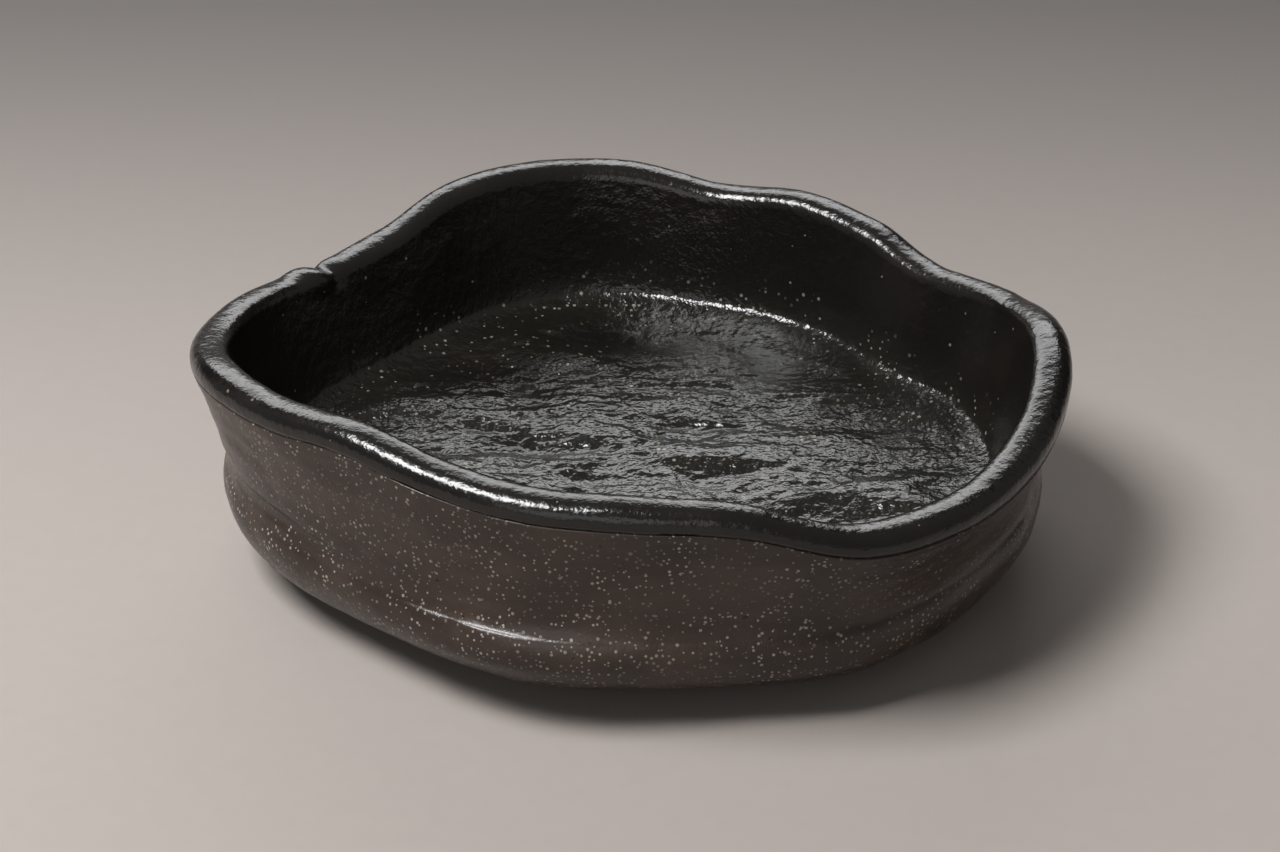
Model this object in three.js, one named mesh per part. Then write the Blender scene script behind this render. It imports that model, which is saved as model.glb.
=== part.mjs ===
// A shallow, hand-built tea bowl for warm weather, with a wavering rim and a low foot ring.
// The potter lutes a foot ring under a floor slab, lays a heel coil round the slab's edge, stands a wall strip on it
// and closes the top with a rolled rim coil. Two coats of glaze and a patch in the foot's well cover the clay.
// Millimetres, +Z up, the bowl standing on z = 0, the side seen in the photograph facing -Y.
import * as THREE from 'three';

// Overall form
const RIM_LENGTH = 151;
const RIM_DEPTH = 136;
const RIM_HEIGHT = 39;
const WALL_THICKNESS = 4.6;
const FLOOR_THICKNESS = 6.2;
const HEEL_COIL_HEIGHT = 11.5;
const RIM_COIL_HEIGHT = 8;
const HEEL_ROUNDING = 3.4;
const HEEL_SWELL = 1.3;
const COVE_WIDTH = 4.2;
const COVE_HEIGHT = 4.6;

// Foot ring
const FOOT_DIAMETER = 80;
const FOOT_WIDTH = 8;
const FOOT_HEIGHT = 7;
const FOOT_FLARE = 0.6;
const FOOT_EDGE = 1.2;
const FOOT_BARE = 2.6;

// Glaze coats, and the gap that two touching pieces keep
const INNER_GLAZE = 0.9;
const OUTER_GLAZE = 0.7;
const WELL_GLAZE = 0.6;
const SEAM = 0.3;

// The rim's wander, every 15 degrees anticlockwise from +X: how far it stands outside an oval of the two
// rim sizes, and how far its crest rises above the rim height.
const RIM_OUT = [0, -2.4, -6.6, -5, -2.7, -1.4, 0.5, 0.8, -1.5, -5.1, -6, -2.9,
  -0.2, -0.6, -3.4, -5.2, -4.4, -2.1, -1, 0.8, 5.4, 5.2, 3.3, 1.6];
const RIM_UP = [1.5, -2, -3.8, -1.7, -0.6, -2, 0.7, 1.5, 0.8, -3, -3.8, -1.8,
  0.3, 4, 5.2, 7, 5.3, 4.4, 4.2, 3.2, -1.5, -3, -2.5, 0.2];
// How far the rim overhangs the heel, every 45 degrees.
const OVERHANG = [5, 4.2, 4, 4.2, 5.5, 3, 2.6, 6];

// The floor's hand-pressed ridges: [height, length from crest to crest, direction in degrees, phase in degrees]
const FLOOR_RIDGES = [[0.55, 27, 68, 20], [0.4, 19, 98, 110], [0.3, 34, 25, 60]];
const FLOOR_RINGS = [0.3, 0.58, 0.82, 1];

const STEPS_AROUND = 48;

const radians = THREE.MathUtils.degToRad;
const lerp = THREE.MathUtils.lerp;

// A smooth value at any bearing from values at equal steps round the bowl.
function around(values, bearing) {
  const step = 360 / values.length;
  const place = bearing / step;
  const first = Math.floor(place);
  const t = place - first;
  const at = (i) => values[((i % values.length) + values.length) % values.length];
  const [a, b, c, d] = [at(first - 1), at(first), at(first + 1), at(first + 2)];
  return b + 0.5 * t * (c - a + t * (2 * a - 5 * b + 4 * c - d + t * (3 * (b - c) + d - a)));
}

function ovalRadius(bearing) {
  const halfLength = RIM_LENGTH / 2;
  const halfDepth = RIM_DEPTH / 2;
  const angle = radians(bearing);
  return (halfLength * halfDepth) / Math.hypot(halfDepth * Math.cos(angle), halfLength * Math.sin(angle));
}

function floorRidge(bearing, radius) {
  const angle = radians(bearing);
  return FLOOR_RIDGES.reduce((height, [rise, length, direction, phase]) => {
    const along = radius * Math.cos(angle - radians(direction));
    return height + rise * Math.sin((2 * Math.PI * along) / length + radians(phase));
  }, 0);
}

// The bare clay's section at one bearing, as named points [radius, height].
function clay(bearing) {
  const coat = SEAM + INNER_GLAZE;
  const rim = ovalRadius(bearing) + around(RIM_OUT, bearing) - SEAM - OUTER_GLAZE;
  const crest = RIM_HEIGHT + around(RIM_UP, bearing) - coat;
  const heel = rim - around(OVERHANG, bearing);
  const under = FOOT_HEIGHT;
  const floor = under + FLOOR_THICKNESS;
  const waistHeight = under + HEEL_COIL_HEIGHT;
  const coveFoot = heel - WALL_THICKNESS - COVE_WIDTH;
  const lip = WALL_THICKNESS / 2;
  return {
    floorHeight: floor,
    seamRadius: coveFoot,
    coveFoot: [coveFoot, floor],
    coveMid: [coveFoot + 0.7 * COVE_WIDTH, floor + 0.3 * COVE_HEIGHT],
    coveTop: [coveFoot + COVE_WIDTH, floor + COVE_HEIGHT],
    lipInner: [rim - WALL_THICKNESS - 0.4, crest - lip],
    lipCrest: [rim - 0.55 * WALL_THICKNESS, crest],
    lipShoulder: [rim - 0.15 * WALL_THICKNESS, crest - 0.4 * lip],
    lipOuter: [rim, crest - 1.1 * lip],
    waist: [heel - 0.2, waistHeight],
    heelSide: [heel + HEEL_SWELL, under + HEEL_ROUNDING + 4.5],
    heelCorner: [heel, under + HEEL_ROUNDING],
    heelUnder: [heel - HEEL_ROUNDING, under],
    footTop: [FOOT_DIAMETER / 2 + FOOT_FLARE, under],
    footLow: [FOOT_DIAMETER / 2, FOOT_BARE],
  };
}

// The point at one height on the straight stretch between two points of a section.
function atHeight([r0, z0], [r1, z1], z) {
  return [lerp(r0, r1, (z - z0) / (z1 - z0)), z];
}

// A section line moved sideways by a distance, to its left as it runs.
function beside(line, distance) {
  const unit = ([r0, z0], [r1, z1]) => {
    const length = Math.hypot(r1 - r0, z1 - z0);
    return [(r1 - r0) / length, (z1 - z0) / length];
  };
  return line.map(([r, z], i) => {
    const before = i > 0 ? unit(line[i - 1], line[i]) : unit(line[0], line[1]);
    const after = i < line.length - 1 ? unit(line[i], line[i + 1]) : before;
    const left = [-(before[1] + after[1]), before[0] + after[0]];
    const reach = distance / (0.5 * (left[0] ** 2 + left[1] ** 2));
    return [r + left[0] * reach, z + left[1] * reach];
  });
}

function floorLine(bearing) {
  const points = clay(bearing);
  return FLOOR_RINGS.map((share) => {
    const radius = share * points.seamRadius;
    return [radius, points.floorHeight + (share < 1 ? floorRidge(bearing, radius) : 0)];
  });
}

// A closed solid swept round the bowl. section(bearing) gives its outline anticlockwise; with onAxis set, the
// first and last points are the two poles on the axis. Every face is split the same way seen from above, so that
// two pieces that follow one surface keep their gap.
function sweep(section, onAxis = false) {
  const positions = [];
  const indices = [];
  const outlines = Array.from({ length: STEPS_AROUND }, (_, i) => section((360 * i) / STEPS_AROUND));
  const ring = onAxis ? outlines[0].slice(1, -1).length : outlines[0].length;
  outlines.forEach((outline, i) => {
    const angle = (2 * Math.PI * i) / STEPS_AROUND;
    const points = onAxis ? outline.slice(1, -1) : outline;
    points.forEach(([r, z]) => positions.push(r * Math.cos(angle), r * Math.sin(angle), z));
  });
  const vertex = (i, j) => (i % STEPS_AROUND) * ring + (j % ring);
  const radiusOf = (v) => Math.hypot(positions[3 * v], positions[3 * v + 1]);
  for (let i = 0; i < STEPS_AROUND; i += 1) {
    for (let j = 0; j < (onAxis ? ring - 1 : ring); j += 1) {
      const [a, b, c, d] = [vertex(i, j), vertex(i + 1, j), vertex(i + 1, j + 1), vertex(i, j + 1)];
      const inward = radiusOf(d) < radiusOf(a);
      indices.push(...(inward ? [a, b, d, b, c, d] : [a, b, c, a, c, d]));
    }
  }
  if (onAxis) {
    const bottom = positions.length / 3;
    positions.push(0, 0, outlines[0][0][1], 0, 0, outlines[0].at(-1)[1]);
    for (let i = 0; i < STEPS_AROUND; i += 1) {
      indices.push(bottom, vertex(i + 1, 0), vertex(i, 0));
      indices.push(bottom + 1, vertex(i, ring - 1), vertex(i + 1, ring - 1));
    }
  }
  const geometry = new THREE.BufferGeometry();
  geometry.setAttribute('position', new THREE.Float32BufferAttribute(positions, 3));
  geometry.setIndex(indices);
  geometry.computeVertexNormals();
  return geometry;
}

// Clay pieces, from the table up
function footRing() {
  const outer = FOOT_DIAMETER / 2;
  const inner = outer - FOOT_WIDTH;
  const top = FOOT_HEIGHT - SEAM;
  return sweep(() => [
    [inner + FOOT_EDGE, 0],
    [outer - FOOT_EDGE, 0],
    [outer, FOOT_EDGE],
    [outer + FOOT_FLARE, top],
    [inner - FOOT_FLARE, top],
    [inner, FOOT_EDGE],
  ]);
}

function floorSlab() {
  return sweep((bearing) => {
    const points = clay(bearing);
    const edge = points.seamRadius - SEAM;
    const top = floorLine(bearing).slice(0, -1).reverse();
    return [
      [0, FOOT_HEIGHT],
      [edge, FOOT_HEIGHT],
      [edge, points.floorHeight],
      ...top,
      [0, points.floorHeight + floorRidge(0, 0)],
    ];
  }, true);
}

function heelCoil() {
  return sweep((bearing) => {
    const points = clay(bearing);
    const height = points.waist[1] - SEAM;
    return [
      [points.seamRadius, FOOT_HEIGHT],
      points.heelUnder,
      points.heelCorner,
      points.heelSide,
      [points.waist[0], height],
      atHeight(points.coveTop, points.lipInner, height),
      points.coveTop,
      points.coveMid,
      points.coveFoot,
    ];
  });
}

function wallStrip() {
  return sweep((bearing) => {
    const points = clay(bearing);
    const low = points.waist[1];
    const high = points.lipCrest[1] - RIM_COIL_HEIGHT;
    return [
      points.waist,
      atHeight(points.waist, points.lipOuter, lerp(low, high, 0.5)),
      atHeight(points.waist, points.lipOuter, high),
      atHeight(points.coveTop, points.lipInner, high),
      atHeight(points.coveTop, points.lipInner, low),
    ];
  });
}

function rimCoil() {
  return sweep((bearing) => {
    const points = clay(bearing);
    const low = points.lipCrest[1] - RIM_COIL_HEIGHT + SEAM;
    return [
      atHeight(points.waist, points.lipOuter, low),
      points.lipOuter,
      points.lipShoulder,
      points.lipCrest,
      points.lipInner,
      atHeight(points.coveTop, points.lipInner, low),
    ];
  });
}

// Glaze coats. The gloss coat inside laps over the lip; the thin coat outside runs from there to the foot.
function innerGlaze() {
  return sweep((bearing) => {
    const points = clay(bearing);
    const line = [
      ...floorLine(bearing),
      points.coveMid,
      points.coveTop,
      points.lipInner,
      points.lipCrest,
      points.lipShoulder,
      points.lipOuter,
    ];
    const centre = points.floorHeight + floorRidge(0, 0) + SEAM;
    return [
      [0, centre],
      ...beside(line, SEAM),
      ...beside(line, SEAM + INNER_GLAZE).reverse(),
      [0, centre + INNER_GLAZE],
    ];
  }, true);
}

function outerGlaze() {
  return sweep((bearing) => {
    const points = clay(bearing);
    const line = [
      atHeight(points.waist, points.lipOuter, points.lipOuter[1] - 2 * SEAM),
      points.waist,
      points.heelSide,
      points.heelCorner,
      points.heelUnder,
      points.footTop,
      points.footLow,
    ];
    return [...beside(line, SEAM + OUTER_GLAZE).reverse(), ...beside(line, SEAM)];
  });
}

function footWellGlaze() {
  const top = FOOT_HEIGHT - SEAM;
  const edge = FOOT_DIAMETER / 2 - FOOT_WIDTH - FOOT_FLARE - SEAM;
  return sweep(() => [
    [0, top - WELL_GLAZE],
    [edge - WELL_GLAZE, top - WELL_GLAZE],
    [edge, top - 0.5 * WELL_GLAZE],
    [edge, top],
    [0, top],
  ], true);
}

const firedClay = { color: 0x5a4034, roughness: 0.9, metalness: 0 };
const glossGlaze = { color: 0x0b0908, roughness: 0.18, metalness: 0 };
const satinGlaze = { color: 0x2e2420, roughness: 0.45, metalness: 0 };

const bowl = new THREE.Group();
const body = new THREE.Group();
bowl.add(body);

function add(name, geometry, finish) {
  const mesh = new THREE.Mesh(geometry, new THREE.MeshStandardMaterial(finish));
  mesh.name = name;
  body.add(mesh);
}

add('foot_ring', footRing(), firedClay);
add('floor_slab', floorSlab(), firedClay);
add('heel_coil', heelCoil(), firedClay);
add('wall_strip', wallStrip(), firedClay);
add('rim_coil', rimCoil(), firedClay);
add('inner_glaze', innerGlaze(), glossGlaze);
add('outer_glaze', outerGlaze(), satinGlaze);
add('foot_well_glaze', footWellGlaze(), satinGlaze);

// The origin is on the table under the middle of the bowl's widest outline.
const outline = new THREE.Box3().setFromObject(body);
const middle = outline.getCenter(new THREE.Vector3());
body.position.set(-middle.x, -middle.y, 0);

export default bowl;
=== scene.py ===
# A shallow hand-built tea bowl with a gloss black glaze inside and a satin brown-black glaze outside.
import math

import bpy
import numpy as np
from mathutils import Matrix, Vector, noise


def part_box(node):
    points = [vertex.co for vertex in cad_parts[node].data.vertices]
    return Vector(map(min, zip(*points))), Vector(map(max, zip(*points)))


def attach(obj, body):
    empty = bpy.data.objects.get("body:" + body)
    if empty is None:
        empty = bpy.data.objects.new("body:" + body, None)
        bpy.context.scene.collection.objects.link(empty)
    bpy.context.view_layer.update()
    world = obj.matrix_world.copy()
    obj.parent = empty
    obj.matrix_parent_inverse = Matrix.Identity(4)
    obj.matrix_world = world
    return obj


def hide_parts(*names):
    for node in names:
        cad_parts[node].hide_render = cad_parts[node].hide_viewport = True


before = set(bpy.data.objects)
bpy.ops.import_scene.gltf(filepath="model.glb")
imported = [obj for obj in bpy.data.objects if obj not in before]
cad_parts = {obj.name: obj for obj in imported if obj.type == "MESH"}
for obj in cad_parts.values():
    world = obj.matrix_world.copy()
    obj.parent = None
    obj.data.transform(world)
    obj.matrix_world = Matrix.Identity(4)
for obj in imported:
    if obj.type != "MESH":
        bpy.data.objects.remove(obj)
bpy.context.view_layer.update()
MM = 0.001
foot_low, foot_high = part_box("foot_ring")
foot_centre = (foot_low + foot_high) / 2
AXIS_X, AXIS_Y = foot_centre.x, foot_centre.y

# The studio: a grey paper sweep with painted shade, its colour darkening towards the back, a bright soft box high on
# the left, which makes the white streaks on the rim and heel, and two dim ones: behind, for the floor's sheen, and
# in front, for the wall's.
CAMERA_ELEVATION = math.radians(30)
CAMERA_DISTANCE = 0.620
CAMERA_LENS = 100
CAMERA_SENSOR = 36
CAMERA_NEAR = 0.01
AIM_RIGHT, AIM_BACK, AIM_HEIGHT = 0.0019, -0.0031, 0.022
AIM = Vector((AXIS_X + AIM_RIGHT, AXIS_Y + AIM_BACK, AIM_HEIGHT))
WORLD_COLOUR, WORLD_STRENGTH = (1.0, 0.96, 0.92, 1), 0.20
SOFT_BOXES = [  # name, direction, distance, width, height, power
    ("key", (-0.45, -0.18, 0.86), 0.95, 0.46, 0.38, 15.0),
    ("back", (-0.12, 0.86, 0.50), 1.25, 1.1, 0.6, 7.5),
    ("front", (-0.25, -0.90, 0.34), 1.3, 1.0, 0.7, 2.2),
]
PAPER_COLOUR = (0.285, 0.255, 0.236)
# painted shade: the paper's colour goes dark towards the back over this span, standing in for the light falling off
PAPER_PAINTED_SHADE_COLOUR = (0.062, 0.057, 0.056)
PAPER_SHADE_FROM, PAPER_SHADE_TO = -0.02, 0.33
PAPER_MOTTLE = 0.94
SWEEP_HALF_WIDTH = 2.2
SWEEP_FRONT = -1.6
SWEEP_BEND = 0.75
SWEEP_RADIUS = 0.55
SWEEP_TOP = 1.6
BEND_STEPS = 24


def aim(thing, direction, distance):
    """Points a camera or lamp at the bowl, from that direction and distance."""
    thing.location = AIM + direction * distance
    thing.rotation_mode = "QUATERNION"
    thing.rotation_quaternion = (-direction).to_track_quat("-Z", "Y")


def soft_box(name, direction, distance, width, height, power):
    lamp = bpy.data.lights.new(name, "AREA")
    lamp.shape = "RECTANGLE"
    lamp.size = width
    lamp.size_y = height
    lamp.energy = power
    holder = bpy.data.objects.new(name, lamp)
    bpy.context.scene.collection.objects.link(holder)
    aim(holder, Vector(direction).normalized(), distance)


camera_data = bpy.data.cameras.new("camera")
camera_data.lens = CAMERA_LENS
camera_data.sensor_width = CAMERA_SENSOR
camera_data.clip_start = CAMERA_NEAR
camera = bpy.data.objects.new("camera", camera_data)
bpy.context.scene.collection.objects.link(camera)
aim(camera, Vector((0, -math.cos(CAMERA_ELEVATION), math.sin(CAMERA_ELEVATION))), CAMERA_DISTANCE)
bpy.context.scene.camera = camera
bpy.context.scene.view_settings.view_transform = "Standard"

world = bpy.data.worlds.new("studio")
world.use_nodes = True
world.node_tree.nodes["Background"].inputs["Color"].default_value = WORLD_COLOUR
world.node_tree.nodes["Background"].inputs["Strength"].default_value = WORLD_STRENGTH
bpy.context.scene.world = world
for box in SOFT_BOXES:
    soft_box(*box)


class Socket:
    """A shader value that arithmetic can be written on."""

    def __init__(self, tree, link):
        self.tree, self.link = tree, link

    def math(self, operation, other=None, swap=False):
        values = [self] if other is None else ([other, self] if swap else [self, other])
        return self.tree.node("ShaderNodeMath", {"operation": operation}, values)

    def __add__(self, other):
        return self.math("ADD", other)

    def __sub__(self, other):
        return self.math("SUBTRACT", other)

    def __rsub__(self, other):
        return self.math("SUBTRACT", other, swap=True)

    def __mul__(self, other):
        return self.math("MULTIPLY", other)

    __radd__ = __add__
    __rmul__ = __mul__

    def ramp(self, low, high):
        """0 below low, 1 above high, smooth between."""
        settings = {"interpolation_type": "SMOOTHSTEP"}
        return self.tree.node("ShaderNodeMapRange", settings, [self, low, high])


class Finish:
    """A material's node tree, built one node at a time."""

    GRAIN_SMALLEST, GRAIN_SPREAD, GRAIN_EDGE = 0.45, 0.8, 0.35

    def __init__(self, name, **plain):
        self.material = bpy.data.materials.new(name)
        self.material.use_nodes = True
        self.nodes = self.material.node_tree.nodes
        self.shader = self.nodes["Principled BSDF"]
        for socket, value in plain.items():
            self.shader.inputs[socket.replace("_", " ")].default_value = value
        self.place = self.node("ShaderNodeTexCoord", {}, {}, "Object")

    def node(self, kind, settings, values, output=0):
        made = self.nodes.new(kind)
        for key, value in settings.items():
            setattr(made, key, value)
        pairs = values.items() if isinstance(values, dict) else enumerate(values)
        for key, value in pairs:
            if isinstance(value, Socket):
                self.material.node_tree.links.new(value.link, made.inputs[key])
            else:
                made.inputs[key].default_value = value
        return Socket(self, made.outputs[output])

    def noise(self, size, detail=3.0, roughness=0.5, stretch=(1, 1, 1)):
        """Noise whose lumps are about size across, in millimetres."""
        place = self.node("ShaderNodeMapping", {}, {"Vector": self.place, "Scale": stretch})
        values = {"Vector": place, "Scale": 1 / (size * MM), "Detail": detail, "Roughness": roughness}
        return self.node("ShaderNodeTexNoise", {}, values)

    def grains(self, spacing, share, radius):
        """1 on round grains of that radius, on a share of cells that far apart, in millimetres."""
        values = {"Vector": self.place, "Scale": 1 / (spacing * MM)}
        near = self.node("ShaderNodeTexVoronoi", {}, values)
        pick = self.node("ShaderNodeTexVoronoi", {}, values, "Color")
        chance = self.node("ShaderNodeSeparateColor", {}, [pick])
        size = self.node("ShaderNodeSeparateColor", {}, [pick], 1)
        edge = size * (self.GRAIN_SPREAD * radius / spacing) + self.GRAIN_SMALLEST * radius / spacing
        spot = 1 - (near - edge).ramp(0.0, self.GRAIN_EDGE * radius / spacing)
        return spot * chance.math("LESS_THAN", share)

    def axis(self, index):
        """The place along x, y or z, in metres."""
        return self.node("ShaderNodeSeparateXYZ", {}, [self.place], index)

    def mix(self, factor, first, second):
        colours = [value if isinstance(value, Socket) else (*value, 1) for value in (first, second)]
        values = {0: factor, 6: colours[0], 7: colours[1]}
        return self.node("ShaderNodeMix", {"data_type": "RGBA"}, values, 2)

    def bump(self, height, depth, under=None):
        """Relief of that depth in millimetres, where height goes from 0 to 1."""
        values = {"Height": height, "Distance": depth * MM, "Strength": 1.0}
        if under is not None:
            values["Normal"] = under
        return self.node("ShaderNodeBump", {}, values)

    def feed(self, **sockets):
        for name, value in sockets.items():
            self.material.node_tree.links.new(value.link, self.shader.inputs[name.replace("_", " ")])


paper = Finish("paper", Roughness=0.95)
paper_tone = paper.noise(4.0, 4.0)
# painted shade: the paper's colour is mixed from the near tone to a dark tone along y, darker towards the back
paper_painted_shade = paper.axis(1).ramp(PAPER_SHADE_FROM, PAPER_SHADE_TO)
paper_near = paper.mix(paper_tone, PAPER_COLOUR, [PAPER_MOTTLE * c for c in PAPER_COLOUR])
paper.feed(Base_Color=paper.mix(paper_painted_shade, paper_near, PAPER_PAINTED_SHADE_COLOUR))
profile = [(SWEEP_FRONT, 0.0)]
for step in range(BEND_STEPS + 1):
    turn = 0.5 * math.pi * step / BEND_STEPS
    profile.append((SWEEP_BEND + SWEEP_RADIUS * math.sin(turn), SWEEP_RADIUS * (1 - math.cos(turn))))
profile.append((SWEEP_BEND + SWEEP_RADIUS, SWEEP_TOP))
sweep_mesh = bpy.data.meshes.new("paper_sweep")
sweep_points = [(side * SWEEP_HALF_WIDTH, y, z) for side in (-1, 1) for y, z in profile]
count = len(profile)
sweep_mesh.from_pydata(sweep_points, [], [(i, i + count, i + count + 1, i + 1) for i in range(count - 1)])
sweep_mesh.shade_smooth()
sweep_mesh.materials.append(paper.material)
paper_sweep = bpy.data.objects.new("paper_sweep", sweep_mesh)
bpy.context.scene.collection.objects.link(paper_sweep)

# The bowl's form, which every piece of clay and glaze follows: an oval whose rim wanders in and out and up and
# down, a wall that leans in to a waist, a swelling heel and an underside that runs level to the foot ring.
RIM_LENGTH, RIM_DEPTH, RIM_HEIGHT = 151, 136, 39
WALL_THICKNESS, FLOOR_THICKNESS, HEEL_COIL_HEIGHT = 4.6, 6.2, 11.5
HEEL_ROUNDING, HEEL_SWELL, COVE_WIDTH, COVE_HEIGHT = 3.4, 1.3, 4.2, 4.6
FOOT_DIAMETER, FOOT_WIDTH, FOOT_HEIGHT = 80, 8, 7
FOOT_FLARE, FOOT_EDGE, FOOT_BARE = 0.6, 1.2, 2.6
INNER_GLAZE, OUTER_GLAZE, SEAM = 0.9, 0.7, 0.3
RIM_OUT = [0, -2.4, -6.6, -5, -2.7, -1.4, 0.5, 0.8, -1.5, -5.1, -6, -2.9,
           -0.2, -0.6, -3.4, -5.2, -4.4, -2.1, -1, 0.8, 5.4, 5.2, 3.3, 1.6]
RIM_UP = [1.5, -2, -3.8, -1.7, -0.6, -2, 0.7, 1.5, 0.8, -3, -3.8, -1.8,
          0.3, 4, 5.2, 7, 5.3, 4.4, 4.2, 3.2, -1.5, -3, -2.5, 0.2]
OVERHANG = [5, 4.2, 4, 4.2, 5.5, 3, 2.6, 6]
FLOOR_RIDGES = [[0.55, 27, 68, 20], [0.4, 19, 98, 110], [0.3, 34, 25, 60]]
FLOOR_RINGS = [0, 0.3, 0.58, 0.82, 1]
STEPS_AROUND = 448
CORNER_CUTS = 3
bearings = np.arange(STEPS_AROUND) * 2 * np.pi / STEPS_AROUND


def around(values):
    """A smooth value at every bearing, from values at equal steps round the bowl."""
    values = np.array(values, float)
    place = bearings * len(values) / (2 * np.pi)
    first = np.floor(place).astype(int)
    t = place - first
    a, b, c, d = (values[(first + i) % len(values)] for i in (-1, 0, 1, 2))
    return b + 0.5 * t * (c - a + t * (2 * a - 5 * b + 4 * c - d + t * (3 * (b - c) + d - a)))


half_long, half_deep = RIM_LENGTH / 2, RIM_DEPTH / 2
oval = (RIM_LENGTH * RIM_DEPTH / 4) / np.hypot(half_deep * np.cos(bearings), half_long * np.sin(bearings))
rim = oval + around(RIM_OUT) - SEAM - OUTER_GLAZE
crest = RIM_HEIGHT + around(RIM_UP) - SEAM - INNER_GLAZE
heel = rim - around(OVERHANG)
level = np.ones(STEPS_AROUND)
floor_height = FOOT_HEIGHT + FLOOR_THICKNESS
cove_foot = heel - WALL_THICKNESS - COVE_WIDTH
lip = WALL_THICKNESS / 2


def smooth_line(points, samples):
    """A section line of [radius, height] pairs at every bearing, with its corners rounded, at even steps."""
    line = np.array([[r * level, z * level] for r, z in points]).transpose(2, 0, 1)
    for _ in range(CORNER_CUTS):
        near = 0.75 * line[:, :-1] + 0.25 * line[:, 1:]
        far = 0.25 * line[:, :-1] + 0.75 * line[:, 1:]
        cut = np.stack([near, far], 2).reshape(len(line), -1, 2)
        line = np.concatenate([line[:, :1], cut, line[:, -1:]], 1)
    steps = np.linalg.norm(np.diff(line, axis=1), axis=2)
    along = np.concatenate([np.zeros((len(line), 1)), np.cumsum(steps, 1)], 1)
    even = np.linspace(0, 1, samples)
    return np.stack([
        np.stack([np.interp(even * s[-1], s, section[:, k]) for k in (0, 1)], 1)
        for s, section in zip(along, line)
    ])


def leftward(line):
    """The unit direction to the left of each section line, as seen along it."""
    along = np.gradient(line, axis=1)
    left = np.stack([-along[..., 1], along[..., 0]], 2)
    return left / np.linalg.norm(left, axis=2, keepdims=True)


def xyz(line):
    """Section lines as points in the frame, in metres."""
    r, z = line[..., 0], line[..., 1]
    x = r * np.cos(bearings)[:, None] * MM + AXIS_X
    y = r * np.sin(bearings)[:, None] * MM + AXIS_Y
    return np.stack([x, y, z * MM], 2)


def past(bearing):
    """How far every bearing is past a given one, in degrees from -180 to 180."""
    return np.degrees((bearings - math.radians(bearing) + np.pi) % (2 * np.pi) - np.pi)


def lumps(points, size, seed, octaves=3, stretch=(1, 1, 1)):
    """Smooth noise from about -1 to 1 at points in metres, with lumps about size millimetres across."""
    shift = Vector((seed * 13.7, seed * 7.1, seed * 3.3))  # any steps that land each seed somewhere new
    scaled = points.reshape(-1, 3) * np.array(stretch) / (size * MM)
    values = [noise.fractal(Vector(p) + shift, 1.0, 2.0, octaves, noise_basis="PERLIN_ORIGINAL") for p in scaled]
    return np.array(values).reshape(points.shape[:-1])


def closed_shell(name, section, pole):
    """A solid swept round the bowl from closed sections, or with pole set, from sections that end near the axis."""
    points = xyz(section)
    steps, ring = points.shape[:2]
    vertices = points.reshape(-1, 3).tolist()
    i = np.arange(steps)[:, None]
    j = np.arange(ring - 1 if pole else ring)[None, :]
    across, up = (i + 1) % steps, (j + 1) % ring
    corners = [i * ring + j, across * ring + j, across * ring + up, i * ring + up]
    faces = np.stack([c * np.ones_like(i * j) for c in corners], 2).reshape(-1, 4).tolist()
    if pole:
        for j_end, order in ((0, 1), (ring - 1, -1)):
            heights = points[:, j_end, 2]
            vertices.append([AXIS_X, AXIS_Y, float(heights.mean())])
            tip = len(vertices) - 1
            ends = [k * ring + j_end for k in range(steps)]
            faces += [[tip, *(b, a)[::order]] for a, b in zip(ends, ends[1:] + ends[:1])]
    mesh = bpy.data.meshes.new(name)
    mesh.from_pydata(vertices, [], faces)
    mesh.shade_smooth()
    made = bpy.data.objects.new(name, mesh)
    bpy.context.scene.collection.objects.link(made)
    return made


# Fired clay: the foot ring, floor slab, heel coil, wall strip and rim coil. A coarse brown-black body with sand in
# it, luted together with slip. Only the foot ring shows, bare at its tread, and it is rebuilt here with a worn edge.
clay = Finish("fired_clay", Roughness=0.9)
clay_tone = clay.noise(3.0, 5.0, 0.6)
clay_sand = clay.grains(0.9, 0.4, 0.28)
clay_colour = clay.mix(clay_tone, (0.10, 0.055, 0.036), (0.22, 0.14, 0.095))
clay.feed(
    Base_Color=clay.mix(clay_sand * 0.6, clay_colour, (0.45, 0.38, 0.3)),
    Roughness=clay_tone * 0.2 + 0.75,
    Normal=clay.bump(clay.noise(0.7, 4.0), 0.12),
)
for node in ("floor_slab", "heel_coil", "wall_strip", "rim_coil"):
    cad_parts[node].data.materials.clear()
    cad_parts[node].data.materials.append(clay.material)

foot_outer = FOOT_DIAMETER / 2
foot_inner = foot_outer - FOOT_WIDTH
foot_top = FOOT_HEIGHT - SEAM
FOOT_SAMPLES = 40
FOOT_CHAMFER = 0.3 * FOOT_EDGE
FOOT_LUMP, FOOT_LUMP_SIZE = 0.18, 9
foot_line = smooth_line([
    (foot_inner - FOOT_FLARE, foot_top),
    (foot_inner, FOOT_EDGE),
    (foot_inner + FOOT_CHAMFER, 0),
    (foot_inner + FOOT_EDGE, 0),
    (foot_outer - FOOT_EDGE, 0),
    (foot_outer - FOOT_CHAMFER, 0),
    (foot_outer, FOOT_EDGE),
    (foot_outer + FOOT_FLARE, foot_top),
], FOOT_SAMPLES)
foot_wobble = lumps(xyz(foot_line), FOOT_LUMP_SIZE, 4)[..., None] * FOOT_LUMP
foot_line = foot_line - leftward(foot_line) * foot_wobble
foot_line[..., 1] = np.clip(foot_line[..., 1], 0, foot_top)
foot = closed_shell("foot_ring_clay", foot_line, pole=False)
foot.data.materials.append(clay.material)
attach(foot, "root")
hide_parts("foot_ring")

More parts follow.
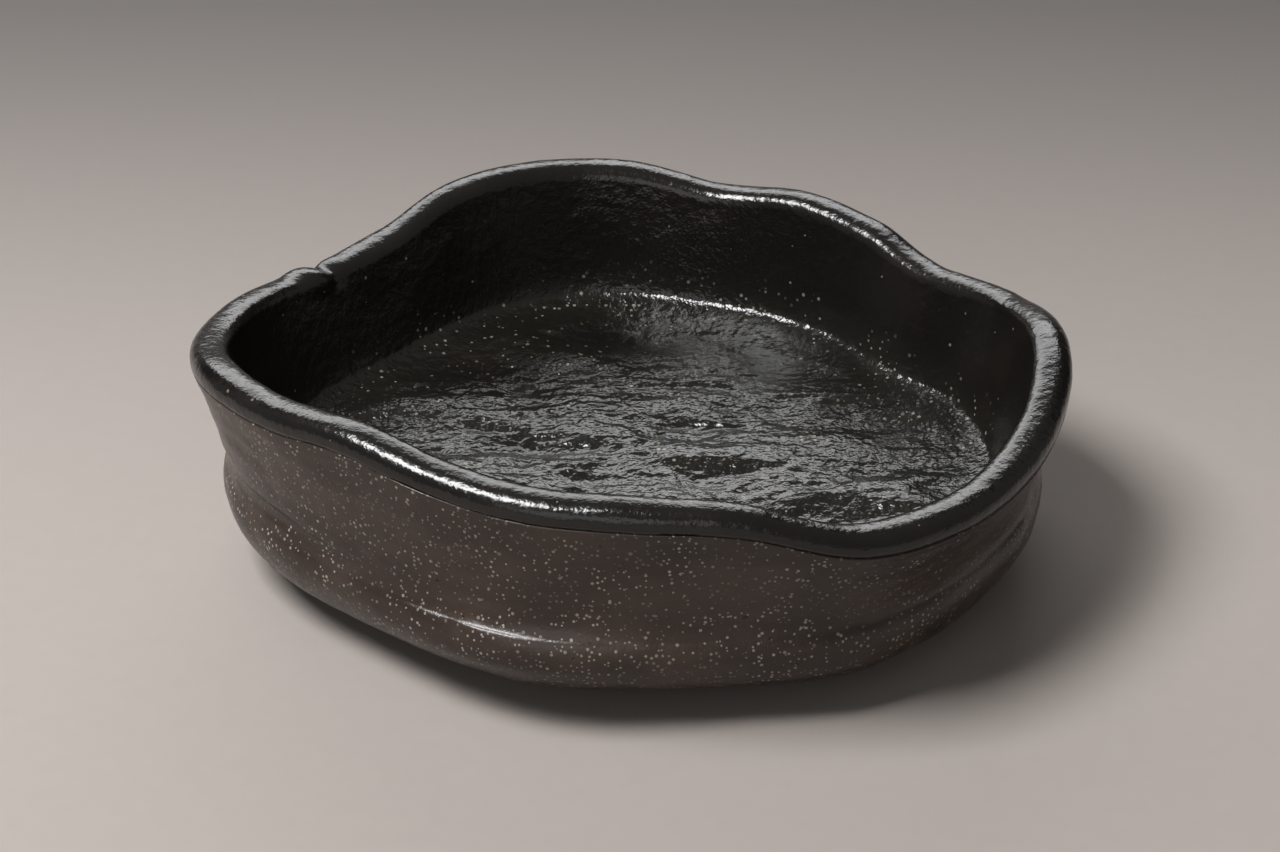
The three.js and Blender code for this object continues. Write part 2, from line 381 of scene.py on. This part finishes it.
# The gloss coat: thick black glass over the ridged floor and the inner wall, lapping over the rolled lip to a sharp
# edge. Its skin is puckered like orange peel, and pale grains of sand show through, most of them round the cove.
GLOSS_SAMPLES = 176
GLOSS_UNDER_SAMPLES = 36
RELIEF_EDGE = 9.0
FLOOR_LUMP, FLOOR_PUCKER, WALL_LUMP = 1.0, 0.12, 0.22
DEEPEST_DENT = 0.72
RIDGE_SLANT = (0.6, 1.3, 1.0)
RIDGE_SIZE, RIDGE_MIDDLE, RIDGE_DEPTH = 19, 0.5, 1.8
CRUMPLE_SIZE, CRUMPLE_DEPTH = 8, 0.95
PUCKER_SIZE, WALL_LUMP_SIZE = 1.8, 13
LAP_BEARING, LAP_STEP, LIP_REACH = 151, 0.8, 3
LAP_RAISED, LAP_SUNK = (3, 2.5), (-1, 1.4)  # degrees past the lap, and half width
GLOSS_EDGE_SHARE, EDGE_SAMPLES = 0.8, 6
WAIST_LEAN = 0.4
LIP_END = 1.1 * lip


def floor_ridge(line):
    """The clay floor's rise at each point of the section lines, straight between its rings."""
    shares = np.array(FLOOR_RINGS)
    total = np.zeros((STEPS_AROUND, len(shares)))
    for rise, length, direction, phase in FLOOR_RIDGES:
        along = cove_foot[:, None] * shares * np.cos(bearings - math.radians(direction))[:, None]
        total += rise * np.sin(2 * np.pi * along / length + math.radians(phase))
    total[:, -1] = 0
    return np.stack([
        np.interp(radii, edge * shares, rises)
        for radii, edge, rises in zip(line[..., 0], cove_foot, total)
    ])


gloss_path = [
    (0.02 * cove_foot, floor_height),
    (0.5 * cove_foot, floor_height),
    (0.92 * cove_foot, floor_height),
    (cove_foot + 0.7 * COVE_WIDTH, floor_height + 0.3 * COVE_HEIGHT),
    (cove_foot + COVE_WIDTH, floor_height + COVE_HEIGHT),
    (rim - WALL_THICKNESS - WAIST_LEAN, crest - lip),
    (rim - WALL_THICKNESS, crest + 0.05),
    (rim - 0.3 * WALL_THICKNESS, crest + 0.1),
    (rim, crest - 0.3 * lip),
    (rim, crest - LIP_END),
]
gloss_line = smooth_line(gloss_path, GLOSS_SAMPLES)
gloss_side = leftward(gloss_line)
gloss_spots = xyz(gloss_line)
on_floor = np.clip((cove_foot[:, None] - gloss_line[..., 0]) / RELIEF_EDGE, 0, 1)
on_floor = on_floor * on_floor * (3 - 2 * on_floor)
ridges = RIDGE_MIDDLE - np.abs(lumps(gloss_spots, RIDGE_SIZE, 1, 2, RIDGE_SLANT)) * RIDGE_DEPTH
ridges += CRUMPLE_DEPTH * lumps(gloss_spots, CRUMPLE_SIZE, 8, 3, RIDGE_SLANT)
dents = FLOOR_LUMP * ridges + FLOOR_PUCKER * lumps(gloss_spots, PUCKER_SIZE, 2, 2)
dents = DEEPEST_DENT * np.tanh(dents / DEEPEST_DENT)
relief = floor_ridge(gloss_line) + on_floor * dents
relief += (1 - on_floor) * WALL_LUMP * lumps(gloss_spots, WALL_LUMP_SIZE, 3, 3)
raised, sunk = (np.exp(-(((past(LAP_BEARING) - at) / half) ** 2)) for at, half in (LAP_RAISED, LAP_SUNK))
on_lip = np.clip((gloss_line[..., 1] - crest[:, None] + LIP_REACH) / LIP_REACH, 0, 1)
relief += on_lip * (LAP_STEP * (raised - sunk))[:, None]
edge_in = np.clip(np.arange(GLOSS_SAMPLES)[::-1] / EDGE_SAMPLES, 0, 1)[None, :]
taper = GLOSS_EDGE_SHARE + (1 - GLOSS_EDGE_SHARE) * edge_in
gloss_top = gloss_line + gloss_side * (SEAM + INNER_GLAZE * taper + relief * taper)[..., None]
under_line = smooth_line(gloss_path, GLOSS_UNDER_SAMPLES)
under_lift = 0.5 * SEAM + floor_ridge(under_line)
gloss_under = under_line + leftward(under_line) * under_lift[..., None]
gloss_section = np.concatenate([gloss_under, gloss_top[:, ::-1]], 1)
gloss = closed_shell("inner_glaze_coat", gloss_section, pole=True)

black = Finish("gloss_black_glaze", IOR=1.5)
black_drift = black.noise(14.0, 3.0)
black_pucker = black.noise(1.7, 2.0, 0.5)
black_fine = black.noise(0.45, 2.0)
black_grains = black.grains(2.3, 0.22, 0.24)
black_height = black.axis(2)
black_skin = black_pucker * (1.0 - 0.62 * black_height.ramp(0.015, 0.019))
near_cove = black_height.ramp(0.0125, 0.0155) * (1 - black_height.ramp(0.017, 0.024))
cove_sand = black.grains(1.2, 0.45, 0.25) * near_cove * black_drift.ramp(0.4, 0.6)
BLACK, BROWN_BLACK, OLIVE = (0.0045, 0.0038, 0.0035), (0.0075, 0.006, 0.0048), (0.022, 0.023, 0.014)
SAND = (0.30, 0.30, 0.23)
black_colour = black.mix(black_drift.ramp(0.45, 0.75), BLACK, BROWN_BLACK)
black_colour = black.mix(near_cove * 0.12, black_colour, OLIVE)
sand_seen = (black_grains * 0.35 + cove_sand * 0.5).math("MINIMUM", 1.0)
black.feed(
    Base_Color=black.mix(sand_seen, black_colour, SAND),
    Roughness=black_fine * 0.14 + 0.12,
    Normal=black.bump(black_fine, 0.05, black.bump(black_skin, 0.46)),
)
gloss.data.materials.append(black.material)
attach(gloss, "root")
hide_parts("inner_glaze")

# The outer coat: a thin satin brown-black glaze brushed from the lip down the wall, round the heel and under to the
# foot ring. Pale grains of felspar show all over it, and the wall keeps faint level finger lines.
SATIN_SAMPLES = 190
SATIN_INNER_SAMPLES = 30
FINGER_LINES = ((21.0, 0.16, 2.6), (26.5, 0.12, 1.8), (31.0, 0.1, 2.2))  # height, depth, half width
LINE_WAVER, LINE_WAVER_SIZE = 1.2, 40
SATIN_LUMP, SATIN_LUMP_SIZE, SATIN_STRETCH = 0.34, 17, (1, 1, 1.8)
SATIN_RIPPLE, SATIN_RIPPLE_SIZE = 0.05, 2.2
DEEPEST_MARK = -0.75
WALL_MARKS = (  # bearing, height, how far out, half width in degrees, half height
    (249, 14.2, 2.3, 19, 5.6),
    (244, 15.5, -0.45, 1.3, 1.1),
    (206, 20.5, -0.7, 13, 1.5),
    (352, 21.0, -0.7, 8, 1.8),
    (336, 14.0, 0.8, 9, 4.0),
)
satin_path = [
    (FOOT_DIAMETER / 2, FOOT_BARE),
    (FOOT_DIAMETER / 2 + 0.2, 0.6 * FOOT_HEIGHT),
    (FOOT_DIAMETER / 2 + FOOT_FLARE, FOOT_HEIGHT),
    (FOOT_DIAMETER / 2 + 4, FOOT_HEIGHT),
    (heel - 2 * HEEL_ROUNDING, FOOT_HEIGHT),
    (heel - 0.7 * HEEL_ROUNDING, FOOT_HEIGHT),
    (heel + 0.2, FOOT_HEIGHT + HEEL_ROUNDING - 0.6),
    (heel + HEEL_SWELL + 0.2, FOOT_HEIGHT + HEEL_ROUNDING + 4.5),
    (heel - 0.2, FOOT_HEIGHT + HEEL_COIL_HEIGHT),
    (0.5 * (heel + rim), 0.5 * (FOOT_HEIGHT + HEEL_COIL_HEIGHT + crest)),
    (rim, crest - LIP_END - 0.3 * SEAM),
]
satin_line = smooth_line(satin_path, SATIN_SAMPLES)
satin_side = -leftward(satin_line)
satin_spots = xyz(satin_line)
swell = SATIN_LUMP * lumps(satin_spots, SATIN_LUMP_SIZE, 5, 3, SATIN_STRETCH)
swell = swell + SATIN_RIPPLE * lumps(satin_spots, SATIN_RIPPLE_SIZE, 6, 2)
waver = LINE_WAVER * lumps(satin_spots, LINE_WAVER_SIZE, 7, 2)
for height, depth, width in FINGER_LINES:
    swell -= depth * np.exp(-(((satin_line[..., 1] - (height + waver)) / width) ** 2))
for bearing, height, amount, half_turn, half_height in WALL_MARKS:
    turned = past(bearing)[:, None] / half_turn
    climbed = (satin_line[..., 1] - height) / half_height
    swell += amount * np.exp(-(turned**2) - climbed**2)
swell = np.maximum(swell, DEEPEST_MARK)
taper = np.clip(np.arange(SATIN_SAMPLES)[::-1] / EDGE_SAMPLES, 0, 1)[None, :]
satin_top = satin_line + satin_side * (SEAM + OUTER_GLAZE + swell * taper)[..., None]
satin_under_line = smooth_line(satin_path, SATIN_INNER_SAMPLES)
satin_under = satin_under_line - leftward(satin_under_line) * 0.5 * SEAM
satin_section = np.concatenate([satin_top, satin_under[:, ::-1]], 1)
satin = closed_shell("outer_glaze_coat", satin_section, pole=False)

brown = Finish("satin_brown_glaze", IOR=1.5)
brown_drift = brown.noise(20.0, 4.0, 0.55, (1, 1, 2.2))
brown_fine = brown.noise(0.6, 3.0)
brown_grains = brown.grains(0.85, 0.7, 0.21)
brown_big = brown.grains(2.3, 0.3, 0.26)
brown_patch = brown.noise(9.0, 3.0).ramp(0.38, 0.62)
brown_pits_and_shade = brown.grains(4.5, 0.16, 0.3)
DARK_BROWN, MID_BROWN = (0.020, 0.012, 0.0085), (0.040, 0.026, 0.019)
# the pit colour is painted shade: near-black standing in for the shade inside the pinholes
FELSPAR, PIT_SHADE_COLOUR = (0.33, 0.29, 0.25), (0.004, 0.003, 0.003)
brown_colour = brown.mix(brown_drift.ramp(0.35, 0.7), DARK_BROWN, MID_BROWN)
pale = (brown_grains * (brown_patch * 0.5 + 0.22) + brown_big * 0.3).math("MINIMUM", 1.0)
speckled = brown.mix(pale, brown_colour, FELSPAR)
brown_relief = brown.bump(brown_fine, 0.06, brown.bump(brown_pits_and_shade * -1.0, 0.12))
brown.feed(
    # the pinhole pits are real dents in the bump, and their near-black colour is painted shade
    Base_Color=brown.mix(brown_pits_and_shade * 0.9, speckled, PIT_SHADE_COLOUR),
    Roughness=brown_fine * 0.26 + 0.2,
    Normal=brown.bump(brown_grains, 0.03, brown_relief),
)
satin.data.materials.append(brown.material)
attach(satin, "root")
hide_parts("outer_glaze")
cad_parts["foot_well_glaze"].data.materials.clear()
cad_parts["foot_well_glaze"].data.materials.append(brown.material)
